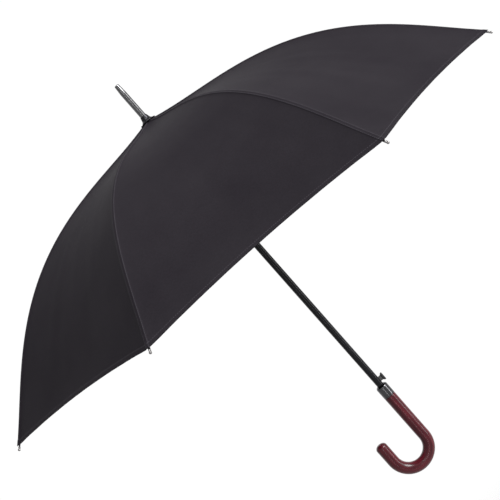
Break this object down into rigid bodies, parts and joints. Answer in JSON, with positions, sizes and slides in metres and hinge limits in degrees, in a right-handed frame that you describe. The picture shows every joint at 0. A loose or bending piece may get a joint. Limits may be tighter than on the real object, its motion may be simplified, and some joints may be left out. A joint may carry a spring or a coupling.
{
  "type": "stick umbrella",
  "caption": "Self-opening stick umbrella with a ribbed cloth canopy, steel shaft, push button and curved crook handle.",
  "frame": {"origin": "on the shaft's axis in the middle of the straight grip of the handle", "axes": "+Z along the shaft from the handle to the ferrule, +X towards the push button, -X towards the free end of the crook"},
  "size_m": [0.9438, 0.9438, 0.8297],
  "materials": {
    "black_lacquer": "gloss black lacquered steel tube",
    "chrome": "bright chrome plate",
    "cap_grey": "dark grey metallic cap",
    "black_plastic": "black moulded plastic",
    "steel_wire": "bright spring steel wire",
    "plated_steel": "plated steel channel",
    "tip_metal": "nickel plated bead",
    "canopy_cloth": "matt charcoal woven polyester",
    "handle_wood": "dark red mahogany under clear lacquer"
  },
  "bodies": {
    "shaft": {"shaft_tube": "black_lacquer", "ferrule": "chrome", "rosette": "canopy_cloth", "crown_cap": "cap_grey", "top_notch": "black_plastic", "notch_wire": "steel_wire", "opening_spring": "steel_wire", "button_spring": "steel_wire", "collar": "chrome", "handle": "handle_wood"},
    "runner": {"runner": "black_plastic"},
    "button": {"button": "black_plastic"},
    "rib_inner_1": {"rib_inner_1": "plated_steel", "gore_1": "canopy_cloth"},
    "rib_outer_1": {"rib_outer_1": "plated_steel", "rib_tip_1": "tip_metal"},
    "stretcher_1": {"stretcher_1": "plated_steel"},
    "rib_inner_2": {"rib_inner_2": "plated_steel", "gore_2": "canopy_cloth"},
    "rib_outer_2": {"rib_outer_2": "plated_steel", "rib_tip_2": "tip_metal"},
    "stretcher_2": {"stretcher_2": "plated_steel"},
    "rib_inner_3": {"rib_inner_3": "plated_steel", "gore_3": "canopy_cloth"},
    "rib_outer_3": {"rib_outer_3": "plated_steel", "rib_tip_3": "tip_metal"},
    "stretcher_3": {"stretcher_3": "plated_steel"},
    "rib_inner_4": {"rib_inner_4": "plated_steel", "gore_4": "canopy_cloth"},
    "rib_outer_4": {"rib_outer_4": "plated_steel", "rib_tip_4": "tip_metal"},
    "stretcher_4": {"stretcher_4": "plated_steel"},
    "rib_inner_5": {"rib_inner_5": "plated_steel", "gore_5": "canopy_cloth"},
    "rib_outer_5": {"rib_outer_5": "plated_steel", "rib_tip_5": "tip_metal"},
    "stretcher_5": {"stretcher_5": "plated_steel"},
    "rib_inner_6": {"rib_inner_6": "plated_steel", "gore_6": "canopy_cloth"},
    "rib_outer_6": {"rib_outer_6": "plated_steel", "rib_tip_6": "tip_metal"},
    "stretcher_6": {"stretcher_6": "plated_steel"},
    "rib_inner_7": {"rib_inner_7": "plated_steel", "gore_7": "canopy_cloth"},
    "rib_outer_7": {"rib_outer_7": "plated_steel", "rib_tip_7": "tip_metal"},
    "stretcher_7": {"stretcher_7": "plated_steel"},
    "rib_inner_8": {"rib_inner_8": "plated_steel", "gore_8": "canopy_cloth"},
    "rib_outer_8": {"rib_outer_8": "plated_steel", "rib_tip_8": "tip_metal"},
    "stretcher_8": {"stretcher_8": "plated_steel"}
  },
  "joints": [
    {"name": "runner_slide", "type": "slide", "parent": "shaft", "child": "runner", "axis": [0, 0, -1], "range_m": [0, 0.4011], "stiffness_N_per_m": 45, "springref_m": -0.35, "deforming": ["opening_spring", "gore_1", "gore_2", "gore_3", "gore_4", "gore_5", "gore_6", "gore_7", "gore_8"]},
    {"name": "button_press", "type": "slide", "parent": "shaft", "child": "button", "axis": [-1, 0, 0], "range_m": [0, 0.0035], "stiffness_N_per_m": 500, "springref_m": -0.004, "deforming": ["button_spring"]},
    {"name": "rib_fold_1", "type": "hinge", "parent": "shaft", "child": "rib_inner_1", "pos_m": [0.00887, 0.00367, 0.65681], "axis": [-0.3827, 0.9239, 0], "range_deg": [0, 75.33]},
    {"name": "rib_flex_1", "type": "hinge", "parent": "rib_inner_1", "child": "rib_outer_1", "pos_m": [0.24032, 0.09954, 0.60094], "axis": [-0.3827, 0.9239, 0], "range_deg": [-23.54, 0]},
    {"name": "stretcher_fold_1", "type": "hinge", "parent": "rib_inner_1", "child": "stretcher_1", "pos_m": [0.24032, 0.09954, 0.60094], "axis": [-0.3827, 0.9239, 0], "range_deg": [-150.16, 0]},
    {"name": "rib_fold_2", "type": "hinge", "parent": "shaft", "child": "rib_inner_2", "pos_m": [0.00367, 0.00887, 0.65681], "axis": [-0.9239, 0.3827, 0], "range_deg": [0, 75.33]},
    {"name": "rib_flex_2", "type": "hinge", "parent": "rib_inner_2", "child": "rib_outer_2", "pos_m": [0.09954, 0.24032, 0.60094], "axis": [-0.9239, 0.3827, 0], "range_deg": [-23.54, 0]},
    {"name": "stretcher_fold_2", "type": "hinge", "parent": "rib_inner_2", "child": "stretcher_2", "pos_m": [0.09954, 0.24032, 0.60094], "axis": [-0.9239, 0.3827, 0], "range_deg": [-150.16, 0]},
    {"name": "rib_fold_3", "type": "hinge", "parent": "shaft", "child": "rib_inner_3", "pos_m": [-0.00367, 0.00887, 0.65681], "axis": [-0.9239, -0.3827, 0], "range_deg": [0, 75.33]},
    {"name": "rib_flex_3", "type": "hinge", "parent": "rib_inner_3", "child": "rib_outer_3", "pos_m": [-0.09954, 0.24032, 0.60094], "axis": [-0.9239, -0.3827, 0], "range_deg": [-23.54, 0]},
    {"name": "stretcher_fold_3", "type": "hinge", "parent": "rib_inner_3", "child": "stretcher_3", "pos_m": [-0.09954, 0.24032, 0.60094], "axis": [-0.9239, -0.3827, 0], "range_deg": [-150.16, 0]},
    {"name": "rib_fold_4", "type": "hinge", "parent": "shaft", "child": "rib_inner_4", "pos_m": [-0.00887, 0.00367, 0.65681], "axis": [-0.3827, -0.9239, 0], "range_deg": [0, 75.33]},
    {"name": "rib_flex_4", "type": "hinge", "parent": "rib_inner_4", "child": "rib_outer_4", "pos_m": [-0.24032, 0.09954, 0.60094], "axis": [-0.3827, -0.9239, 0], "range_deg": [-23.54, 0]},
    {"name": "stretcher_fold_4", "type": "hinge", "parent": "rib_inner_4", "child": "stretcher_4", "pos_m": [-0.24032, 0.09954, 0.60094], "axis": [-0.3827, -0.9239, 0], "range_deg": [-150.16, 0]},
    {"name": "rib_fold_5", "type": "hinge", "parent": "shaft", "child": "rib_inner_5", "pos_m": [-0.00887, -0.00367, 0.65681], "axis": [0.3827, -0.9239, 0], "range_deg": [0, 75.33]},
    {"name": "rib_flex_5", "type": "hinge", "parent": "rib_inner_5", "child": "rib_outer_5", "pos_m": [-0.24032, -0.09954, 0.60094], "axis": [0.3827, -0.9239, 0], "range_deg": [-23.54, 0]},
    {"name": "stretcher_fold_5", "type": "hinge", "parent": "rib_inner_5", "child": "stretcher_5", "pos_m": [-0.24032, -0.09954, 0.60094], "axis": [0.3827, -0.9239, 0], "range_deg": [-150.16, 0]},
    {"name": "rib_fold_6", "type": "hinge", "parent": "shaft", "child": "rib_inner_6", "pos_m": [-0.00367, -0.00887, 0.65681], "axis": [0.9239, -0.3827, 0], "range_deg": [0, 75.33]},
    {"name": "rib_flex_6", "type": "hinge", "parent": "rib_inner_6", "child": "rib_outer_6", "pos_m": [-0.09954, -0.24032, 0.60094], "axis": [0.9239, -0.3827, 0], "range_deg": [-23.54, 0]},
    {"name": "stretcher_fold_6", "type": "hinge", "parent": "rib_inner_6", "child": "stretcher_6", "pos_m": [-0.09954, -0.24032, 0.60094], "axis": [0.9239, -0.3827, 0], "range_deg": [-150.16, 0]},
    {"name": "rib_fold_7", "type": "hinge", "parent": "shaft", "child": "rib_inner_7", "pos_m": [0.00367, -0.00887, 0.65681], "axis": [0.9239, 0.3827, 0], "range_deg": [0, 75.33]},
    {"name": "rib_flex_7", "type": "hinge", "parent": "rib_inner_7", "child": "rib_outer_7", "pos_m": [0.09954, -0.24032, 0.60094], "axis": [0.9239, 0.3827, 0], "range_deg": [-23.54, 0]},
    {"name": "stretcher_fold_7", "type": "hinge", "parent": "rib_inner_7", "child": "stretcher_7", "pos_m": [0.09954, -0.24032, 0.60094], "axis": [0.9239, 0.3827, 0], "range_deg": [-150.16, 0]},
    {"name": "rib_fold_8", "type": "hinge", "parent": "shaft", "child": "rib_inner_8", "pos_m": [0.00887, -0.00367, 0.65681], "axis": [0.3827, 0.9239, 0], "range_deg": [0, 75.33]},
    {"name": "rib_flex_8", "type": "hinge", "parent": "rib_inner_8", "child": "rib_outer_8", "pos_m": [0.24032, -0.09954, 0.60094], "axis": [0.3827, 0.9239, 0], "range_deg": [-23.54, 0]},
    {"name": "stretcher_fold_8", "type": "hinge", "parent": "rib_inner_8", "child": "stretcher_8", "pos_m": [0.24032, -0.09954, 0.60094], "axis": [0.3827, 0.9239, 0], "range_deg": [-150.16, 0]}
  ],
  "couplings": [
    {"joint": "rib_fold_1", "follows": "runner_slide", "rad_per_m": 3.256},
    {"joint": "rib_flex_1", "follows": "runner_slide", "rad_per_m": -1.0025},
    {"joint": "stretcher_fold_1", "follows": "runner_slide", "rad_per_m": -6.5121},
    {"joint": "rib_fold_2", "follows": "runner_slide", "rad_per_m": 3.256},
    {"joint": "rib_flex_2", "follows": "runner_slide", "rad_per_m": -1.0025},
    {"joint": "stretcher_fold_2", "follows": "runner_slide", "rad_per_m": -6.5121},
    {"joint": "rib_fold_3", "follows": "runner_slide", "rad_per_m": 3.256},
    {"joint": "rib_flex_3", "follows": "runner_slide", "rad_per_m": -1.0025},
    {"joint": "stretcher_fold_3", "follows": "runner_slide", "rad_per_m": -6.5121},
    {"joint": "rib_fold_4", "follows": "runner_slide", "rad_per_m": 3.256},
    {"joint": "rib_flex_4", "follows": "runner_slide", "rad_per_m": -1.0025},
    {"joint": "stretcher_fold_4", "follows": "runner_slide", "rad_per_m": -6.5121},
    {"joint": "rib_fold_5", "follows": "runner_slide", "rad_per_m": 3.256},
    {"joint": "rib_flex_5", "follows": "runner_slide", "rad_per_m": -1.0025},
    {"joint": "stretcher_fold_5", "follows": "runner_slide", "rad_per_m": -6.5121},
    {"joint": "rib_fold_6", "follows": "runner_slide", "rad_per_m": 3.256},
    {"joint": "rib_flex_6", "follows": "runner_slide", "rad_per_m": -1.0025},
    {"joint": "stretcher_fold_6", "follows": "runner_slide", "rad_per_m": -6.5121},
    {"joint": "rib_fold_7", "follows": "runner_slide", "rad_per_m": 3.256},
    {"joint": "rib_flex_7", "follows": "runner_slide", "rad_per_m": -1.0025},
    {"joint": "stretcher_fold_7", "follows": "runner_slide", "rad_per_m": -6.5121},
    {"joint": "rib_fold_8", "follows": "runner_slide", "rad_per_m": 3.256},
    {"joint": "rib_flex_8", "follows": "runner_slide", "rad_per_m": -1.0025},
    {"joint": "stretcher_fold_8", "follows": "runner_slide", "rad_per_m": -6.5121}
  ]
}
